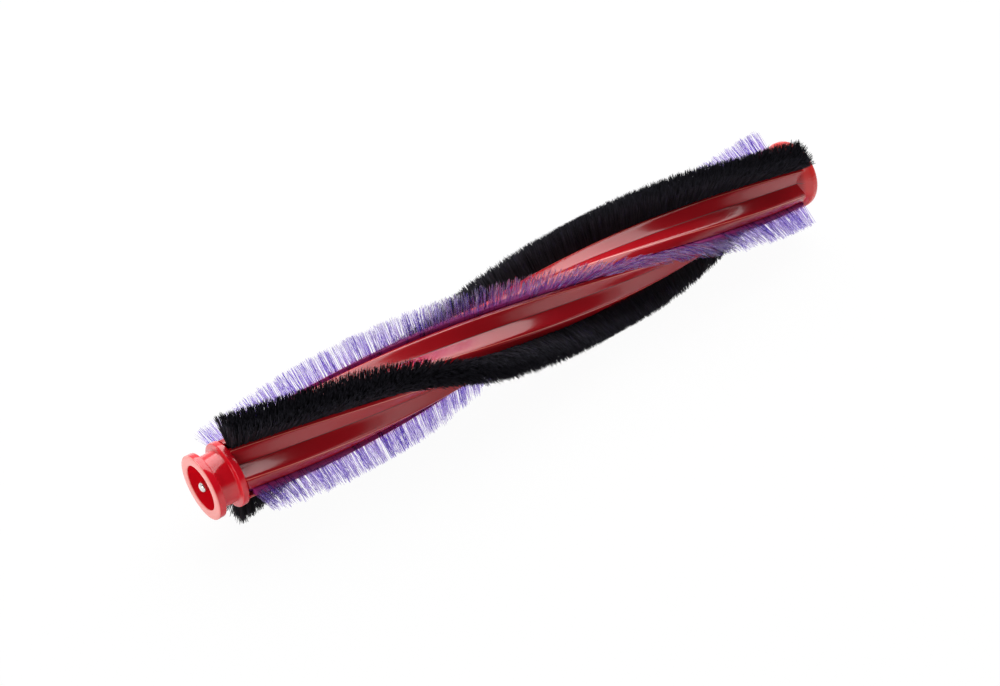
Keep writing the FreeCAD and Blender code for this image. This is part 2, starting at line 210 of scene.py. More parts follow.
class PurpleStripSizes(bpy.types.PropertyGroup):
    """Sizes of a strip of stiff purple bristles."""

    tufts: count("Tufts", "Tufts along the strip", 162)
    tufts_across: count("Tufts across", "Tufts side by side in the strip", 1)
    grouping: amount("Grouping", "Share of its pitch that a tuft moves to its neighbour", 0.10)
    bristles: count("Bristles", "Bristles in a tuft", 17)
    root_radius: length("Root radius", "Axis to the roots", 0.00827)
    tip_radius: length("Tip radius", "Axis to the tips", 0.018)
    root_width: length("Root width", "Width of the strip at its roots", 0.0019)
    tip_width: length("Tip width", "Width of the strip at its tips", 0.0042)
    shoulder: length("Shoulder", "How much shorter the outer bristles are", 0.0005)
    thickness: length("Thickness", "Diameter of a bristle", 0.00018)
    root_spread: length("Root spread", "How far roots scatter along the strip", 0.00042)
    tip_spread: length("Tip spread", "How far tips scatter along the strip", 0.00050)
    tuft_lean: length("Tuft lean", "How far whole tufts lean along the strip", 0.00014)
    unevenness: length("Unevenness", "How far tips fall short", 0.00040)
    fan: amount("Fan", "Share of the spread reached at half height", 0.5)
    bow: length("Bow", "How far a bristle bends from straight", 0.00022)
    end_splay: length("End splay", "How far the end tufts lean to the cap", 0.0009)
    pressed_splay: length("Pressed splay", "How far the second strip's first tufts lean", 0.0013)
    loft: length("Loft", "How far upward tips stand proud", 0.0)
    body_share: amount("Body share", "Share of the height that is dense inside", 0.28)
    body_fill: amount("Body fill", "Share of the width that is dense inside", 0.80)


class BlackStripSizes(bpy.types.PropertyGroup):
    """Sizes of a strip of soft black pile."""

    tufts: count("Tufts", "Tufts along the strip", 263)
    tufts_across: count("Tufts across", "Tufts side by side in the strip", 9)
    grouping: amount("Grouping", "Share of its pitch that a tuft moves to its neighbour", 0.0)
    bristles: count("Bristles", "Bristles in a tuft", 9)
    root_radius: length("Root radius", "Axis to the roots", 0.00827)
    tip_radius: length("Tip radius", "Axis to the tips", 0.018)
    root_width: length("Root width", "Width of the strip at its roots", 0.0020)
    tip_width: length("Tip width", "Width of the strip at its tips", 0.0094)
    shoulder: length("Shoulder", "How much shorter the outer bristles are", 0.0022)
    thickness: length("Thickness", "Diameter of a bristle", 0.00020)
    root_spread: length("Root spread", "How far roots scatter along the strip", 0.00025)
    tip_spread: length("Tip spread", "How far tips scatter along the strip", 0.00050)
    tuft_lean: length("Tuft lean", "How far whole tufts lean along the strip", 0.00020)
    unevenness: length("Unevenness", "How far tips fall short", 0.00065)
    fan: amount("Fan", "Share of the spread reached at half height", 0.5)
    bow: length("Bow", "How far a bristle bends from straight", 0.0004)
    end_splay: length("End splay", "How far the end tufts lean to the cap", 0.0016)
    loft: length("Loft", "How far upward tips stand proud", 0.0012)
    near_combed: length("Combed near", "How far tips are combed over at the near end", 0.0038)
    far_combed: length("Combed far", "How far tips are combed over at the far end", 0.0018)
    body_share: amount("Body share", "Share of the height that is dense inside", 0.70)
    body_fill: amount("Body fill", "Share of the width that is dense inside", 0.64)


class RollColours(bpy.types.PropertyGroup):
    """Colours of the finishes."""

    core: colour("Core", "Red moulding of the core", (0.46, 0.007, 0.014))
    # Pale lines painted along the land edges as highlights
    core_edge_highlight: colour("Core edge highlight", "Edges of the lands", (0.88, 0.22, 0.17))
    # Painted shade in the crease at the bottom of each groove
    core_groove_shade: colour("Core groove shade", "Painted shade at the bottom of a groove", (0.06, 0.001, 0.002))
    # The collar is the core's own plastic, painted a brighter red as a painted glow
    collar: colour("Collar", "Painted glow of the collar at the far end", (0.84, 0.040, 0.036))
    cap: colour("Cap", "Red moulding of the cap", (0.84, 0.006, 0.020))
    # Paler colour painted on the cap's front face as its highlight
    cap_face_highlight: colour("Cap face highlight", "Painted highlight on the front face of the cap", (1.0, 0.32, 0.28))
    steel: colour("Pin", "Steel of the axle pin", (0.78, 0.77, 0.74))
    # Painted shade at the bristle roots, tinted by the red core below
    purple_root_shade: colour("Purple root", "Bristles where they leave the slot", (0.62, 0.12, 0.52))
    # Dark red painted on the dense root bundle as shade over the red core
    purple_bundle_shade: colour("Purple bundle shade", "Painted shade of the dense root bundle", (0.32, 0.006, 0.14))
    purple_body: colour("Purple body", "Bristles along most of their length", (0.80, 0.71, 1.0))
    purple_dark: colour("Purple dark", "Darkest bristles among the others", (0.24, 0.12, 0.70))
    purple_tip: colour("Purple tip", "Tips of the bristles", (0.86, 0.82, 0.98))
    purple_backing: colour("Purple backing", "Backing of the purple strips", (0.50, 0.04, 0.34))
    black: colour("Black", "Dark end of the pile's colour", (0.009, 0.009, 0.012))
    # The light end shows mostly at the tips, as a painted sheen
    black_light: colour("Black light", "Light end of the pile's colour", (0.058, 0.055, 0.074))
    black_backing: colour("Black backing", "Backing of the black strips", (0.012, 0.012, 0.014))


class StudioSettings(bpy.types.PropertyGroup):
    """Camera, floor and lamps."""

    azimuth: angle("Azimuth", "Camera's turn round Z, from -Y", -38.71)
    elevation: angle("Elevation", "Camera's height over the horizon", 42.03)
    distance: length("Distance", "Camera to the point that it aims at", 0.520)
    aim: FloatVectorProperty(
        name="Aim", description="Point that the camera aims at", default=(0.0884, -0.0074, 0.0030),
        size=3, subtype="XYZ", unit="LENGTH")
    lens: FloatProperty(name="Lens", description="Focal length in mm", default=64.8)
    sensor: FloatProperty(name="Sensor", description="Sensor width in mm", default=36.0)
    floor_size: length("Floor", "Width of the square floor", 8.0)
    overhead_light: amount("Overhead light", "Brightness of the soft box overhead, 1 is white", 3.2)
    near_light: amount("Near light", "Brightness of the soft box before the cap", 2.6)
    horizon: amount("Horizon", "Brightness of the studio's low walls", 0.55)
    dark_side: amount("Dark side", "Brightness of the dark walls", 0.03)
    floor_glow: amount("Floor glow", "Share of the floor's white that no shadow reaches", 0.96)
    floor_light: amount("Floor light", "Share of the floor's white that lights the roll", 0.20)


class RollSettings(bpy.types.PropertyGroup):
    """Everything that a user would change."""

    core: PointerProperty(type=CoreSizes)
    cap: PointerProperty(type=CapSizes)
    purple: PointerProperty(type=PurpleStripSizes)
    black: PointerProperty(type=BlackStripSizes)
    colours: PointerProperty(type=RollColours)
    studio: PointerProperty(type=StudioSettings)


# Shader arithmetic


class Value:
    """One number over a surface. Arithmetic on it adds Math nodes to its tree."""

    def __init__(self, nodes, socket):
        self.nodes = nodes
        self.socket = socket

    def __add__(self, other):
        return self.nodes.math("ADD", self, other)

    def __radd__(self, other):
        return self.nodes.math("ADD", other, self)

    def __sub__(self, other):
        return self.nodes.math("SUBTRACT", self, other)

    def __rsub__(self, other):
        return self.nodes.math("SUBTRACT", other, self)

    def __mul__(self, other):
        return self.nodes.math("MULTIPLY", self, other)

    def __rmul__(self, other):
        return self.nodes.math("MULTIPLY", other, self)

    def at_least(self, other):
        return self.nodes.math("MAXIMUM", self, other)

    def at_most(self, other):
        return self.nodes.math("MINIMUM", self, other)

    def away_from(self, other):
        return self.nodes.math("ABSOLUTE", self - other)


class Nodes:
    """A material's or the world's node tree."""

    def __init__(self, owner):
        owner.use_nodes = True
        self.owner = owner
        self.tree = owner.node_tree
        self.tree.nodes.clear()

    def node(self, kind, settings=None, inputs=None):
        """Adds a node: its settings first, then the values or links of its sockets."""
        node = self.tree.nodes.new(kind)
        for name, value in (settings or {}).items():
            setattr(node, name, value)
        for name, value in (inputs or {}).items():
            if isinstance(value, Value):
                self.tree.links.new(value.socket, node.inputs[name])
            else:
                node.inputs[name].default_value = value
        return node

    def add(self, kind, settings=None, inputs=None, output=0):
        """Adds a node and gives one of its outputs."""
        return Value(self, self.node(kind, settings, inputs).outputs[output])

    def math(self, operation, *numbers):
        """Adds a Math node."""
        return self.add("ShaderNodeMath", {"operation": operation}, dict(enumerate(numbers)))

    def place(self):
        """Object coordinates, in metres."""
        return self.add("ShaderNodeTexCoord", output="Object")

    def split(self, vector):
        """The three parts of a vector."""
        node = self.node("ShaderNodeSeparateXYZ", inputs={"Vector": vector})
        return [Value(self, socket) for socket in node.outputs]

    def noise(self, scale, detail=2.0, stretch=(1.0, 1.0, 1.0)):
        """Noise between 0 and 1, with this many cells to the metre."""
        where = self.add("ShaderNodeMapping", inputs={"Vector": self.place(), "Scale": stretch})
        sockets = {"Vector": where, "Scale": scale, "Detail": detail}
        return self.add("ShaderNodeTexNoise", inputs=sockets)

    def attribute(self, name):
        """A number that the mesh holds at each point."""
        return self.add("ShaderNodeAttribute", {"attribute_name": name}, output="Fac")

    def ramp(self, value, low, high):
        """0 where the value is low, 1 where it is high, and smooth between."""
        sockets = {"Value": value, "From Min": low, "From Max": high}
        return self.add("ShaderNodeMapRange", {"interpolation_type": "SMOOTHSTEP"}, sockets)

    def blend(self, share, first, second):
        """A mix of two colours."""
        colours = [c if isinstance(c, Value) else (*c, 1.0) for c in (first, second)]
        sockets = {0: share, 6: colours[0], 7: colours[1]}
        return self.add("ShaderNodeMix", {"data_type": "RGBA"}, sockets, output=2)

    def bump(self, height, distance):
        """A normal that follows a height."""
        sockets = {"Height": height, "Distance": distance, "Strength": 1.0}
        return self.add("ShaderNodeBump", inputs=sockets)

    def surface(self, shader):
        """Links a shader to the tree's output."""
        is_world = isinstance(self.owner, bpy.types.World)
        kind = "ShaderNodeOutputWorld" if is_world else "ShaderNodeOutputMaterial"
        self.node(kind, inputs={"Surface": shader})
        return self.owner

    def principled(self, sockets):
        """Makes a principled shader the surface."""
        return self.surface(self.add("ShaderNodeBsdfPrincipled", inputs=sockets))


def scaled(tone, factor):
    """A colour made darker or lighter."""
    return tuple(min(1.0, part * factor) for part in tone)


def lit_cap_face(nodes):
    """1 on the front face of the cap, which is painted paler as the highlight of its strongly lit
    face.
    """
    x = nodes.split(nodes.place())[0]
    return 1.0 - nodes.ramp(x - NEAR_FACE, *FACE_HIGHLIGHT_DEPTHS)


def far_collar_glow(nodes):
    """1 on the collar, which is painted a brighter red than the core as a glow of light at the far
    end.
    """
    x = nodes.split(nodes.place())[0]
    land_end = FAR_FACE - settings().core.collar_width
    return nodes.ramp(x, land_end - COLLAR_GLOW_BLEND, land_end)


def round_strip(nodes):
    """Angle from the middle of the strip before a point of the core, up to a quarter turn."""
    x, y, z = nodes.split(nodes.place())
    turn = nodes.math("ARCTAN2", -1.0 * y, z) - settings().core.first_strip
    return nodes.math("WRAP", turn - (x - NEAR_FACE) * helix_turn(1.0), QUARTER, 0.0)


def land_edge_highlights(nodes):
    """1 on the fine edges between the lands and the grooves, where pale lines are painted as
    highlights.
    """
    core = settings().core
    place = round_strip(nodes)
    lead = place.away_from(core.lead_angle - core.lead_round / core.land_radius / 3)
    trail = place.away_from(core.trail_angle + core.trail_round / core.land_radius / 3)
    edges = 1.0 - nodes.ramp(lead.at_most(trail), *EDGE_HIGHLIGHT_LINE)
    return edges * (1.0 - far_collar_glow(nodes)) * EDGE_HIGHLIGHT_STRENGTH


def groove_shade_lines(nodes):
    """1 on the line at the bottom of each V-groove, where shade is painted because light hardly
    reaches it.
    """
    away = round_strip(nodes).away_from(settings().core.valley_angle)
    return (1.0 - nodes.ramp(away, *GROOVE_SHADE_LINE)) * (1.0 - far_collar_glow(nodes))


def moulded_plastic(name, tone, gloss, roughness, places):
    """Glossy moulded plastic, with places painted in a colour of their own, such as painted
    highlights and shade, which are also rougher.
    """
    nodes = Nodes(bpy.data.materials.new(name))
    flow = nodes.noise(scale=70.0, stretch=(0.35, 1.0, 1.0))
    grain = nodes.noise(scale=2600.0)
    scuffs = nodes.noise(scale=900.0, detail=3.0, stretch=(0.08, 1.0, 1.0))
    tint = nodes.blend(flow, scaled(tone, 0.90), scaled(tone, 1.08))
    rough = roughness + flow * 0.06 + nodes.ramp(scuffs, 0.55, 0.75) * 0.07
    for where, tone_there, rougher in places:
        share = where(nodes)
        tint = nodes.blend(share * (0.80 + 0.20 * flow), tint, tone_there)
        rough = rough + share * rougher
    return nodes.principled({
        "Base Color": tint,
        "Roughness": rough,
        "IOR": 1.5,
        "Coat Weight": gloss,
        "Coat Roughness": roughness * 0.6,
        "Normal": nodes.bump(flow * 0.9 + grain * 0.02, 0.00012),
    })


def turned_steel(name, tone):
    """Ground steel, with fine rings left by the wheel."""
    nodes = Nodes(bpy.data.materials.new(name))
    rings = nodes.noise(scale=1500.0, stretch=(6.0, 1.0, 1.0))
    stain = nodes.noise(scale=500.0)
    return nodes.principled({
        "Base Color": nodes.blend(stain, scaled(tone, 0.85), tone),
        "Metallic": 1.0,
        "Roughness": 0.12 + rings * 0.10,
        "Normal": nodes.bump(rings, 0.00001),
    })


def backing_plastic(name, tone):
    """Dull flexible plastic, with the print of the threads that it holds."""
    nodes = Nodes(bpy.data.materials.new(name))
    threads = nodes.noise(scale=1100.0, detail=3.0)
    return nodes.principled({
        "Base Color": nodes.blend(threads, scaled(tone, 0.75), scaled(tone, 1.15)),
        "Roughness": 0.48 + threads * 0.2,
        "Normal": nodes.bump(threads, 0.00005),
    })


def purple_nylon(name, tones):
    """Translucent filaments: clear purple, paler at the tip, and dark magenta at the root as
    painted shade over the red core.
    """
    nodes = Nodes(bpy.data.materials.new(name))
    along = nodes.attribute("along")
    shade = nodes.attribute("shade")
    # Dark magenta roots are painted shade where the bristles crowd over the red core
    root = 1.0 - nodes.ramp(along, 0.12, 0.42)
    body = nodes.blend(nodes.ramp(along, 0.45, 1.0), tones.purple_body, tones.purple_tip)
    varied = nodes.blend(nodes.ramp(shade, 0.60, 0.85), body, tones.purple_dark)
    return nodes.principled({
        "Base Color": nodes.blend(root, varied, tones.purple_root_shade),
        "Roughness": 0.12 + shade * 0.12,
        "IOR": 1.12,
        "Transmission Weight": 0.92,
    })


def black_pile(name, tones):
    """Soft dull filaments of their own random tones, lighter towards the tips as painted sheen,
    with the roots in painted shade.
    """
    nodes = Nodes(bpy.data.materials.new(name))
    along = nodes.attribute("along")
    shade = nodes.attribute("shade")
    # Roots darker as painted shade inside the pile, tips lighter as painted sheen
    light = shade * (0.25 + 0.75 * nodes.ramp(along, 0.55, 1.0))
    return nodes.principled({
        "Base Color": nodes.blend(light, tones.black, tones.black_light),
        "Roughness": 0.6 + shade * 0.2,
        "Specular IOR Level": 0.2,
    })


# Modelling helpers


def settings():
    """The roll's settings in this scene."""
    return bpy.context.scene.brush_roll


def start_fresh():
    """Leaves edit mode and deselects everything."""
    if bpy.context.mode != "OBJECT":
        bpy.ops.object.mode_set(mode="OBJECT")
    bpy.ops.object.select_all(action="DESELECT")


def choose(piece):
    """Makes a piece the only one selected, and the active one."""
    start_fresh()
    piece.select_set(True)
    bpy.context.view_layer.objects.active = piece


def edit(piece):
    """Enters edit mode on a piece, with all of it selected."""
    choose(piece)
    bpy.ops.object.mode_set(mode="EDIT")
    bpy.ops.mesh.select_all(action="SELECT")


def applied(piece, kind, **values):
    """Adds a modifier with these settings and applies it."""
    choose(piece)
    modifier = piece.modifiers.new(kind.title(), kind)
    for name, value in values.items():
        setattr(modifier, name, value)
    bpy.ops.object.modifier_apply(modifier=modifier.name)
    if not piece.data.polygons:
        raise RuntimeError("nothing is left of " + piece.name)


def select_where(piece, element, test):
    """In edit mode, selects the vertices, edges or faces that pass a test."""
    bpy.ops.mesh.select_mode(type=element)
    bpy.ops.mesh.select_all(action="DESELECT")
    mesh = bmesh.from_edit_mesh(piece.data)
    items = {"VERT": mesh.verts, "EDGE": mesh.edges, "FACE": mesh.faces}[element]
    for item in items:
        if test(item):
            item.select_set(True)
    mesh.select_flush_mode()
    bmesh.update_edit_mesh(piece.data)


def on_ring(vertex, station, radius):
    """True for a vertex on the ring at this station and radius."""
    away = math.hypot(vertex.co.y, vertex.co.z) - radius
    return abs(vertex.co.x - station) < ON_RING and abs(away) < ON_RING


def turned(name, stations, rounds=(), facets=128):
    """A turned solid: a disc is extruded from station to station and its rims are rounded."""
    start_fresh()
    x, radius = stations[0]
    bpy.ops.mesh.primitive_circle_add(
        vertices=facets, radius=radius, fill_type="NGON", location=(x, 0, 0),
        rotation=(0, math.pi / 2, 0))
    piece = bpy.context.object
    piece.name = name
    bpy.ops.object.transform_apply()
    edit(piece)
    bpy.ops.mesh.select_mode(type="FACE")
    for next_x, next_radius in stations[1:]:
        bpy.ops.mesh.extrude_region_move(TRANSFORM_OT_translate={"value": (next_x - x, 0, 0)})
        factor = next_radius / radius
        bpy.ops.transform.resize(value=(1, factor, factor), center_override=(next_x, 0, 0))
        x, radius = next_x, next_radius
    for width, segments, rims in rounds:
        for ring in rims:
            select_where(piece, "EDGE", lambda edge: all(on_ring(v, *ring) for v in edge.verts))
            bpy.ops.mesh.bevel(offset=width, segments=segments, affect="EDGES")
    outward(piece)
    return piece


def outward(piece):
    """Turns every face of a closed piece outwards."""
    edit(piece)
    bpy.ops.mesh.normals_make_consistent(inside=False)
    bpy.ops.object.mode_set(mode="OBJECT")


def combined(piece, tool, operation):
    """Joins a tool to a piece or cuts it away, and removes the tool."""
    applied(piece, "BOOLEAN", object=tool, operation=operation, solver="MANIFOLD")
    bpy.data.objects.remove(tool)


def helix_turn(run):
    """How far the strips turn over this length."""
    return 2 * math.pi * run / settings().core.helix_pitch


def strip_angle(station, place):
    """Angle of a strip at a station, for its place round the core."""
    return settings().core.first_strip + helix_turn(station - NEAR_FACE) + place * QUARTER


def round_axis(station, radius, turn):
    """A point at this radius and angle from straight up."""
    return Vector((station, -radius * math.sin(turn), radius * math.cos(turn)))


def even_outline(right, place):
    """Outline for section_piece, from the (across, height) points of its right half."""
    left = [(-across, height) for across, height in reversed(right)]
    turn = place * QUARTER
    return [(math.hypot(a, h), turn + math.atan2(a, h)) for a, h in right + left]


def section_piece(name, station, outline):
    """A closed outline of (radius, angle from the first strip) in the plane of a station."""
    start_fresh()
    bpy.ops.mesh.primitive_circle_add(vertices=len(outline))
    piece = bpy.context.object
    piece.name = name
    first = strip_angle(station, 0)
    for vertex, (radius, turn) in zip(piece.data.vertices, outline):
        vertex.co = round_axis(station, radius, first + turn)
    return piece


def twisted(piece, run):
    """Carries an outline along the helix of the strips and closes both ends."""
    steps = math.ceil(run / HELIX_STEP)
    applied(
        piece, "SCREW", axis="X", angle=helix_turn(run), screw_offset=run, steps=steps,
        render_steps=steps, use_smooth_shade=False)
    edit(piece)
    bpy.ops.mesh.fill_holes(sides=0)
    outward(piece)
    return piece


def coated(mesh, finish):
    """Gives a mesh its one finish."""
    mesh.materials.clear()
    mesh.materials.append(finish)


def dressed(piece, finish, node):
    """Gives a piece its finish and ties it to the frame."""
    choose(piece)
    bpy.ops.object.shade_smooth_by_angle(angle=SMOOTH_ANGLE)
    piece.data.name = piece.name
    coated(piece.data, finish)
    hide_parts(node)
    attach(piece, "root")
    return piece


# Core


def bar_outline(core):
    """Section of the core before its slots: four lands, each followed by a V-groove."""
    land_points = 9
    land_start = core.trail_angle - QUARTER
    outline = []
    for place in range(STRIPS):
        base = place * QUARTER
        for i in range(land_points):
            turn = land_start + (core.lead_angle - land_start) * i / (land_points - 1)
            outline.append((core.land_radius, base + turn))
        outline.append((core.valley_radius, base + core.valley_angle))
    return outline


def slot_outline(core, place):
    """Section of one T-slot, open past the land."""
    top = core.land_radius - core.lip
    floor = top - core.channel_depth
    above = core.land_radius * 1.3
    half_mouth, half_channel = core.mouth_width / 2, core.channel_width / 2
    right = [(half_channel, floor), (half_channel, top), (half_mouth, top), (half_mouth, above)]
    return even_outline(right, place)


def twisted_bar(core):
    """Lands and V-grooves with rounded edges, carried along the helix into the collar."""
    bar = section_piece("core", CORE_START, bar_outline(core))
    first = strip_angle(CORE_START, 0)
    edit(bar)
    rounds = [
        (core.land_radius, core.lead_angle, core.lead_round, 3),
        (core.land_radius, core.trail_angle - QUARTER, core.trail_round, 5),
        (core.valley_radius, core.valley_angle, core.valley_round, 2),
    ]
    for radius, turn, width, segments in rounds:
        turns = [first + turn + place * QUARTER for place in range(STRIPS)]
        corners = [round_axis(CORE_START, radius, turn) for turn in turns]
        select_where(bar, "VERT", lambda v: any((v.co - c).length < ON_RING for c in corners))
        bpy.ops.mesh.bevel(offset=width, segments=segments, affect="VERTICES")
    land_height = core.land_radius - core.valley_radius
    select_where(bar, "EDGE", lambda edge: edge.calc_length() > land_height)
    bpy.ops.mesh.subdivide(number_cuts=LONG_EDGE_CUTS)
    return twisted(bar, FAR_FACE - core.collar_width / 3 - CORE_START)


def drive_collar(core):
    """Collar whose cone closes the ends of the grooves."""
    land_end = FAR_FACE - core.collar_width
    slope = math.tan(core.ramp_angle)
    cone_start = land_end - (core.land_radius - core.bore_radius) / slope
    cone_end = land_end + (COLLAR_RADIUS - core.land_radius) / slope
    ramp_end, rim = (cone_end, COLLAR_RADIUS), (FAR_FACE, COLLAR_RADIUS)
    rounds = [(core.collar_round, 7, [rim]), (core.lead_round, 3, [ramp_end])]
    return turned("collar", [(cone_start, core.bore_radius), ramp_end, rim], rounds, facets=160)


def flute(core, place):
    """Round bar that cuts one flute of the drive socket."""
    start_fresh()
    reach = core.socket_depth - core.register_depth
    turn = 2 * math.pi * place / core.flutes
    centre = round_axis(FAR_FACE - core.register_depth - reach / 2, core.flute_centre, turn)
    bpy.ops.mesh.primitive_cylinder_add(
        vertices=32, radius=core.flute_radius, depth=reach, location=centre,
        rotation=(0, math.pi / 2, 0))
    bpy.ops.object.transform_apply()
    return bpy.context.object


class BRUSHROLL_OT_core(bpy.types.Operator):
    """Model the red core with its grooves, T-slots, plug bore, collar and drive socket"""

    bl_idname = "brush_roll.core"
    bl_label = "Core"

    def execute(self, context):
        core = settings().core
        piece = twisted_bar(core)
        combined(piece, drive_collar(core), "UNION")
        slot_run = STRIP_END - CORE_START
        for place in range(STRIPS):
            slot = section_piece("slot", CORE_START, slot_outline(core, place))
            slot.data.transform(shift_along(-OVERSHOOT))
            combined(piece, twisted(slot, slot_run + OVERSHOOT), "DIFFERENCE")
        bore_ends = (CORE_START - OVERSHOOT, PLUG_END + core.bore_gap)
        bore = turned("bore", [(end, core.bore_radius) for end in bore_ends])
        combined(piece, bore, "DIFFERENCE")
        register_floor = FAR_FACE - core.register_depth
        socket = [
            (FAR_FACE - core.socket_depth, core.socket_radius),
            (register_floor, core.socket_radius),
            (register_floor, core.register_radius),
            (FAR_FACE - core.lead_round, core.register_radius),
            (FAR_FACE + core.lead_round, core.register_radius + 2 * core.lead_round),
        ]
        combined(piece, turned("socket", socket), "DIFFERENCE")
        for place in range(core.flutes):
            combined(piece, flute(core, place), "DIFFERENCE")
        tones = settings().colours
        # Painted places: highlights along the land edges, shade at the groove bottoms, and a
        # brighter red on the collar as a painted glow
        places = [
            (land_edge_highlights, tones.core_edge_highlight, 0.2),
            (groove_shade_lines, tones.core_groove_shade, 0.3),
            (far_collar_glow, tones.collar, 0.05),
        ]
        finish = moulded_plastic("red core plastic", tones.core, 0.3, 0.15, places)
        dressed(piece, finish, "brush_core")
        return {"FINISHED"}


def shift_along(distance):
    """A screw motion along the helix of the strips."""
    turn = Matrix.Rotation(helix_turn(distance), 4, "X")
    return Matrix.Translation((distance, 0, 0)) @ turn


class BRUSHROLL_OT_cap(bpy.types.Operator):
    """Model the spool cap: a cup between two flanges, on a plug"""

    bl_idname = "brush_roll.cap"
    bl_label = "Near end cap"

    def execute(self, context):
        cap = settings().cap
        neck_start = NEAR_FACE + cap.front_flange
        neck_end = neck_start + cap.neck_length
        cup_floor = NEAR_FACE + cap.cup_depth
        hole = HELD_PIN_RADIUS + cap.pin_gap
        stations = [
            (PIN_TAIL + cap.pin_end_gap, hole),
            (cup_floor, hole),
            (cup_floor, cap.cup_radius),
            (NEAR_FACE, cap.cup_radius),
            (NEAR_FACE, FLANGE_RADIUS),
            (neck_start, FLANGE_RADIUS),
            (neck_start, cap.neck_radius),
            (neck_end, cap.neck_radius),
            (neck_end, FLANGE_RADIUS),
            (CORE_START, FLANGE_RADIUS),
            (CORE_START, cap.plug_radius),
            (PLUG_END, cap.plug_radius),
        ]
        flange_edges = (NEAR_FACE, neck_start, neck_end, CORE_START)
        rims = [(NEAR_FACE, cap.cup_radius)] + [(edge, FLANGE_RADIUS) for edge in flange_edges]
        corners = [
            (cup_floor, cap.cup_radius),
            (neck_start, cap.neck_radius),
            (neck_end, cap.neck_radius),
            (PLUG_END, cap.plug_radius),
        ]
        rounds = [(cap.rim_round, 4, rims), (cap.neck_round, 4, corners)]
        piece = turned("end_cap", stations, rounds)
        tones = settings().colours
        # The front face gets a paler, rougher colour as its painted highlight
        places = [(lit_cap_face, tones.cap_face_highlight, 0.22)]
        finish = moulded_plastic("red cap plastic", tones.cap, 0.4, 0.10, places)
        dressed(piece, finish, "near_end_cap")
        return {"FINISHED"}


class BRUSHROLL_OT_pin(bpy.types.Operator):
    """Model the steel axle pin with its rounded tip"""

    bl_idname = "brush_roll.pin"
    bl_label = "Axle pin"

    def execute(self, context):
        cap = settings().cap
        cup_floor = NEAR_FACE + cap.cup_depth
        stations = [
            (PIN_TAIL, HELD_PIN_RADIUS),
            (cup_floor, HELD_PIN_RADIUS),
            (cup_floor, cap.pin_radius),
            (NEAR_FACE, cap.pin_radius),
        ]
        rounds = [
            (cap.pin_dome, 8, [(NEAR_FACE, cap.pin_radius)]),
            (cap.rim_round, 2, [(PIN_TAIL, HELD_PIN_RADIUS)]),
        ]
        piece = turned("steel_pin", stations, rounds, facets=64)
        finish = turned_steel("pin steel", settings().colours.steel)
        dressed(piece, finish, "axle_pin")
        return {"FINISHED"}


class BRUSHROLL_OT_backings(bpy.types.Operator):
    """Give the strips' backings their finish"""

    bl_idname = "brush_roll.backings"
    bl_label = "Backings"

    def execute(self, context):
        tones = settings().colours
        for tint, tone in (("purple", tones.purple_backing), ("black", tones.black_backing)):
            finish = backing_plastic(tint + " backing plastic", tone)
            for pair in (1, 2):
                coated(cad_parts["%s_backing_%d" % (tint, pair)].data, finish)
        return {"FINISHED"}


# Bristles


def bristle_template(bends):
    """One straight bristle of height and radius 1, three-sided and pointed."""
    start_fresh()
    bpy.ops.mesh.primitive_cylinder_add(
        vertices=3, radius=1.0, depth=1.0, end_fill_type="NOTHING", location=(0, 0, 0.5))
    piece = bpy.context.object
    bpy.ops.object.transform_apply()
    edit(piece)
    for height in bends:
        bpy.ops.mesh.select_all(action="SELECT")
        bpy.ops.mesh.bisect(plane_co=(0, 0, height), plane_no=(0, 0, 1))
    select_where(piece, "VERT", lambda vertex: vertex.co.z > 0.999)
    bpy.ops.mesh.merge(type="CENTER")
    bpy.ops.mesh.select_all(action="SELECT")
    bpy.ops.mesh.quads_convert_to_tris()
    bpy.ops.mesh.normals_make_consistent(inside=False)
    bpy.ops.object.mode_set(mode="OBJECT")
    points = np.array([vertex.co for vertex in piece.data.vertices])
    triangles = np.array([face.vertices for face in piece.data.polygons])
    bpy.data.objects.remove(piece)
    return points, triangles


def parted(station, parting):
    """1 where a strip is combed over, and 0 far from there."""
    return np.exp(-((station - parting[0]) / parting[1]) ** 2)


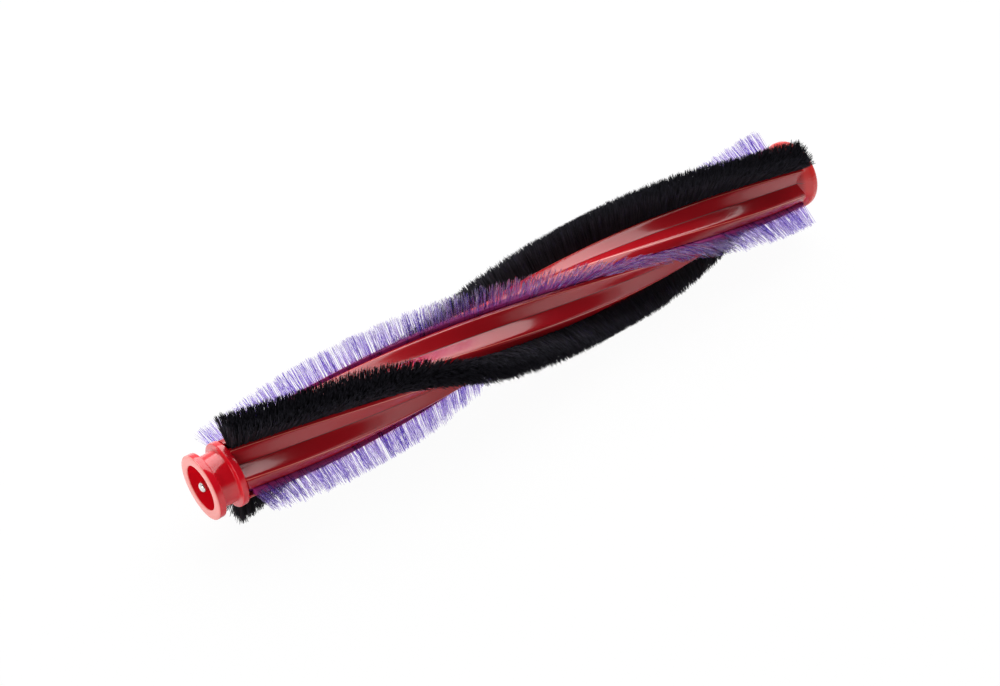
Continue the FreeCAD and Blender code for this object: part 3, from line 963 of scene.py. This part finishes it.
def strip_tufts(strip, place, combed, parting, near_splay, random):
    """Root, middle and tip of every bristle of a strip, and one shade for each."""
    k, j = np.meshgrid(np.arange(strip.tufts), np.arange(strip.tufts_across), indexing="ij")
    k, j = k.ravel()[:, None], j.ravel()[:, None]
    tufts, each = len(k), strip.bristles
    pitch = (STRIP_END - STRIP_START) / strip.tufts
    closer = strip.grouping * np.where(k % 2 == 0, 1.0, -1.0)

    def by_tuft(spread):
        return random.normal(0.0, spread, (tufts, 1))

    def by_bristle(spread):
        return random.normal(0.0, spread, (tufts, each))

    station = STRIP_START + (k + 0.5 + closer + by_tuft(PITCH_SCATTER)) * pitch
    across = (j + 0.5 + by_tuft(ACROSS_SCATTER)) / strip.tufts_across * 2 - 1
    lean = by_tuft(strip.tuft_lean)
    short = by_tuft(strip.unevenness)
    from_start, to_end = station - STRIP_START, STRIP_END - station
    reach = SPLAY_REACH * strip.end_splay
    splay = near_splay * np.exp(-from_start / reach) - strip.end_splay * np.exp(-to_end / reach)

    spread = 1.0 / strip.tufts_across
    share = np.clip(across + random.uniform(-spread, spread, (tufts, each)), -1.0, 1.0)
    root_x = np.clip(station + by_bristle(strip.root_spread), STRIP_START, STRIP_END)
    tip_x = station + lean + splay + by_bristle(strip.tip_spread)
    half_root, half_tip = strip.root_width / 2, strip.tip_width / 2
    flat = 1.0 - strip.shoulder / half_tip
    past_flat = np.clip(np.abs(share) - flat, 0.0, 1.0) / (1.0 - flat)
    fall = strip.shoulder * past_flat ** SHOULDER_POWER
    turn = np.vectorize(strip_angle)(station, place)
    loft = strip.loft * np.sqrt(np.maximum(np.cos(turn), 0.0))
    crown = loft + math.sqrt(strip.tip_radius ** 2 - (flat * half_tip) ** 2)
    uneven = by_bristle(strip.unevenness)
    tip_height = crown - fall + TUFT_UNEVENNESS * short + BRISTLE_UNEVENNESS * uneven
    tip_height = np.minimum(tip_height, crown + OVERREACH)
    tip_across = share * half_tip + by_bristle(SIDE_SCATTER * strip.bow)
    tip_across -= combed * parted(station, parting)
    root_across = share * half_root
    middle_x = (root_x + tip_x) / 2 + by_bristle(strip.bow)
    middle_height = (strip.root_radius + tip_height) / 2
    middle_across = root_across + strip.fan * (tip_across - root_across)
    middle_across += by_bristle(strip.bow)

    outwards = np.stack([0 * turn, -np.sin(turn), np.cos(turn)], axis=-1)
    sideways = np.stack([0 * turn, -np.cos(turn), -np.sin(turn)], axis=-1)

    def in_space(x, height, side):
        points = x[..., None] * np.array([1.0, 0.0, 0.0])
        points = points + height[..., None] * outwards + side[..., None] * sideways
        return points.reshape(-1, 3)

    root_height = np.full_like(root_x, strip.root_radius)
    roots = in_space(root_x, root_height, root_across)
    middles = in_space(middle_x, middle_height, middle_across)
    tips = in_space(tip_x, tip_height, tip_across)
    shade = random.uniform(0.0, BRISTLE_SHADES, (tufts, each))
    shade = shade + random.uniform(0.0, TUFT_SHADES, (tufts, 1))
    return roots, middles, tips, shade.ravel()


def grown(name, strip, place, bends, seed, near_splay, combed=0.0, parting=NEAR_PARTING):
    """A strip of bristles: one is copied along the helix, each copy bent on a curve of its own."""
    random = np.random.default_rng(seed)
    template, triangles = bristle_template(bends)
    roots, middles, tips, shade = strip_tufts(strip, place, combed, parting, near_splay, random)
    t = template[None, :, 2:3]
    spine = (1 - t) ** 2 * roots[:, None] + 2 * t * (1 - t) * middles[:, None]
    spine = spine + t ** 2 * tips[:, None]
    chord = tips - roots
    chord /= np.linalg.norm(chord, axis=1, keepdims=True)
    first = np.cross(chord, (1.0, 0.0, 0.0))
    first /= np.linalg.norm(first, axis=1, keepdims=True)
    second = np.cross(chord, first)
    turn = random.uniform(0.0, 2 * math.pi, (len(roots), 1))
    side_a = first * np.cos(turn) + second * np.sin(turn)
    side_b = second * np.cos(turn) - first * np.sin(turn)
    radius = strip.thickness / 2 * (1.0 - TAPER * t)
    offset = template[None, :, 0:1] * side_a[:, None] + template[None, :, 1:2] * side_b[:, None]
    points = spine + radius * offset
    points[..., 2] = np.maximum(points[..., 2], FLOOR_HEIGHT)

    per_bristle = len(template)
    faces = triangles[None] + per_bristle * np.arange(len(roots))[:, None, None]
    mesh = bpy.data.meshes.new(name)
    mesh.from_pydata(points.reshape(-1, 3), [], faces.reshape(-1, 3).tolist())
    along = np.tile(template[:, 2], len(roots))
    for key, values in (("along", along), ("shade", np.repeat(shade, per_bristle))):
        layer = mesh.attributes.new(key, "FLOAT", "POINT")
        layer.data.foreach_set("value", values.astype(np.float32))
    piece = bpy.data.objects.new(name, mesh)
    bpy.context.collection.objects.link(piece)
    return piece


class BRUSHROLL_OT_purple_strips(bpy.types.Operator):
    """Grow the two strips of stiff purple bristles and the dense bundles of their roots"""

    bl_idname = "brush_roll.purple_strips"
    bl_label = "Purple strips"

    def execute(self, context):
        tones, purple = settings().colours, settings().purple
        nylon = purple_nylon("purple nylon", tones)
        # The dense root bundles are coloured dark red as painted shade over the red core
        dense = backing_plastic("shaded purple roots", tones.purple_bundle_shade)
        for pair, near_splay in ((1, -purple.end_splay), (2, purple.pressed_splay)):
            place = 2 * pair - 2
            tufts = grown(
                "purple_tufts_%d" % pair, purple, place, PURPLE_BENDS, PURPLE_SEED + pair,
                near_splay)
            roots = dense_body("purple_roots_%d" % pair, purple, place)
            for piece, finish in ((tufts, nylon), (roots, dense)):
                dressed(piece, finish, "purple_bristles_%d" % pair)
        return {"FINISHED"}


def dense_body(name, strip, place, combed=0.0, parting=NEAR_PARTING):
    """The dense inside of a strip, which no light passes."""
    share = strip.body_share
    rise = strip.tip_radius - strip.root_radius
    height = strip.root_radius + share * rise
    shoulder = height - strip.shoulder / 2
    width = strip.root_width + share * (strip.tip_width - strip.root_width)
    half_root, half_tip = strip.root_width / 2 * strip.body_fill, width / 2 * strip.body_fill
    crown = half_tip - strip.shoulder / 2
    right = [(half_root, strip.root_radius), (half_tip, shoulder), (crown, height)]
    inset = (1.0 - strip.body_fill) * strip.tip_width / 2
    start = STRIP_START + inset
    body = section_piece(name, start, even_outline(right, place))
    edit(body)
    select_where(body, "EDGE", lambda edge: edge.calc_length() > strip.shoulder)
    bpy.ops.mesh.subdivide(number_cuts=LONG_EDGE_CUTS)
    twisted(body, STRIP_END - inset - start)
    for vertex in body.data.vertices:
        x, y, z = vertex.co
        turn = strip_angle(x, place)
        level = (math.hypot(y, z) - strip.root_radius) / rise
        shift = -combed * float(parted(x, parting)) * max(level, 0.0)
        vertex.co += shift * Vector((0.0, -math.cos(turn), -math.sin(turn)))
    return body


class BRUSHROLL_OT_black_strips(bpy.types.Operator):
    """Grow the two strips of soft black pile"""

    bl_idname = "brush_roll.black_strips"
    bl_label = "Black strips"

    def execute(self, context):
        finish = black_pile("black pile", settings().colours)
        black = settings().black
        partings = ((black.near_combed, NEAR_PARTING), (black.far_combed, FAR_PARTING))
        for pair, (combed, parting) in enumerate(partings, start=1):
            place = 2 * pair - 1
            tufts = grown(
                "black_tufts_%d" % pair, black, place, BLACK_BENDS, BLACK_SEED + pair,
                -black.end_splay, combed, parting)
            body = dense_body("black_body_%d" % pair, black, place, combed, parting)
            for piece in (tufts, body):
                dressed(piece, finish, "black_pile_%d" % pair)
        return {"FINISHED"}


# Studio


def camera_back(studio):
    """Direction from the aim to the camera."""
    level = math.cos(studio.elevation)
    x, y = math.sin(studio.azimuth) * level, -math.cos(studio.azimuth) * level
    return Vector((x, y, math.sin(studio.elevation)))


def ray(nodes, kind):
    """1 for rays of this kind, and 0 for the others."""
    return nodes.add("ShaderNodeLightPath", output="Is %s Ray" % kind)


def pale_floor(studio):
    """Lit white table that keeps a faint shadow."""
    nodes = Nodes(bpy.data.materials.new("pale floor"))
    paper = nodes.noise(scale=12.0, detail=3.0)
    seen = ray(nodes, "Camera").at_least(ray(nodes, "Transmission"))
    mirrored = seen.at_least(ray(nodes, "Glossy"))
    lit = nodes.blend(paper, (0.86, 0.86, 0.86), (0.89, 0.89, 0.89))
    white = nodes.blend(paper, (0.90, 0.90, 0.90), (0.93, 0.93, 0.93))
    matte = nodes.add("ShaderNodeBsdfDiffuse", inputs={"Color": nodes.blend(mirrored, lit, white)})
    glow = nodes.add("ShaderNodeEmission", inputs={"Color": (1, 1, 1, 1), "Strength": 1.0})
    share = studio.floor_light + seen * (studio.floor_glow - studio.floor_light)
    return nodes.surface(nodes.add("ShaderNodeMixShader", inputs={0: share, 1: matte, 2: glow}))


def studio_room(studio):
    """White background to the eye, in a room that is bright low down and behind the roll."""
    world = bpy.context.scene.world or bpy.data.worlds.new("studio")
    bpy.context.scene.world = world
    nodes = Nodes(world)
    direction = nodes.add("ShaderNodeTexCoord", output="Generated")
    y, z = nodes.split(direction)[1:]
    low = 1.0 - nodes.ramp(z, 0.06, 0.24)
    behind = nodes.ramp(y, 0.05, 0.35) * 0.75
    room = studio.dark_side + (1.0 - studio.dark_side) * (low * studio.horizon).at_least(behind)
    through = ray(nodes, "Transmission") * (1.0 - nodes.ramp(z, 0.1, 0.5))
    eye = ray(nodes, "Camera").at_least(through)
    light = eye + (1.0 - eye) * room
    shader = nodes.add("ShaderNodeBackground", inputs={"Color": (1, 1, 1, 1), "Strength": light})
    nodes.surface(shader)


def soft_box(name, centre, size, brightness):
    """A rectangular lamp that faces the middle of the roll."""
    width, depth = size
    start_fresh()
    bpy.ops.object.light_add(type="AREA", location=centre)
    lamp = bpy.context.object
    lamp.name = name
    lamp.data.shape = "RECTANGLE"
    lamp.data.size = width
    lamp.data.size_y = depth
    lamp.data.energy = brightness * math.pi * width * depth
    middle = (CAD_BOX[0] + CAD_BOX[1]) / 2
    lamp.rotation_mode = "QUATERNION"
    lamp.rotation_quaternion = (middle - Vector(centre)).to_track_quat("-Z", "Y")


class BRUSHROLL_OT_stage(bpy.types.Operator):
    """Set up the floor, the lamps, the room and the camera"""

    bl_idname = "brush_roll.stage"
    bl_label = "Stage"

    def execute(self, context):
        studio = settings().studio
        start_fresh()
        bpy.ops.mesh.primitive_plane_add(size=studio.floor_size, location=(0, 0, FLOOR_HEIGHT))
        floor = bpy.context.object
        floor.name = "floor"
        floor.data.materials.append(pale_floor(studio))
        studio_room(studio)
        soft_box("overhead soft box", *OVERHEAD_BOX, studio.overhead_light)
        soft_box("near soft box", *NEAR_BOX, studio.near_light)

        bpy.ops.object.camera_add()
        camera = bpy.context.object
        aim = Vector(studio.aim)
        back = camera_back(studio)
        camera.location = aim + studio.distance * back
        camera.rotation_mode = "QUATERNION"
        camera.rotation_quaternion = (-back).to_track_quat("-Z", "Y")
        camera.data.sensor_fit = "HORIZONTAL"
        camera.data.sensor_width = studio.sensor
        camera.data.lens = studio.lens
        camera.data.clip_start = 0.01
        context.scene.camera = camera
        context.scene.view_settings.view_transform = "Standard"
        return {"FINISHED"}


STEPS = (
    BRUSHROLL_OT_core,
    BRUSHROLL_OT_cap,
    BRUSHROLL_OT_pin,
    BRUSHROLL_OT_backings,
    BRUSHROLL_OT_purple_strips,
    BRUSHROLL_OT_black_strips,
    BRUSHROLL_OT_stage,
)
GROUPS = (
    CoreSizes, CapSizes, PurpleStripSizes, BlackStripSizes,
    RollColours, StudioSettings, RollSettings)


class BRUSHROLL_PT_sidebar(bpy.types.Panel):
    """Steps that model the brush roll"""

    bl_idname = "BRUSHROLL_PT_sidebar"
    bl_label = "Brush Roll"
    bl_space_type = "VIEW_3D"
    bl_region_type = "UI"
    bl_category = "Brush Roll"

    def draw(self, context):
        for step in STEPS:
            self.layout.operator(step.bl_idname)


def register():
    """Registers the classes and adds the settings to the scene."""
    for item in GROUPS + STEPS + (BRUSHROLL_PT_sidebar,):
        bpy.utils.register_class(item)
    bpy.types.Scene.brush_roll = PointerProperty(type=RollSettings)


def unregister():
    """Takes the settings and the classes away again."""
    del bpy.types.Scene.brush_roll
    for item in reversed(GROUPS + STEPS + (BRUSHROLL_PT_sidebar,)):
        bpy.utils.unregister_class(item)


def main():
    """Models every piece in order."""
    register()
    for step in STEPS:
        group, name = step.bl_idname.split(".")
        getattr(getattr(bpy.ops, group), name)()
    start_fresh()


if __name__ == "__main__":
    main()
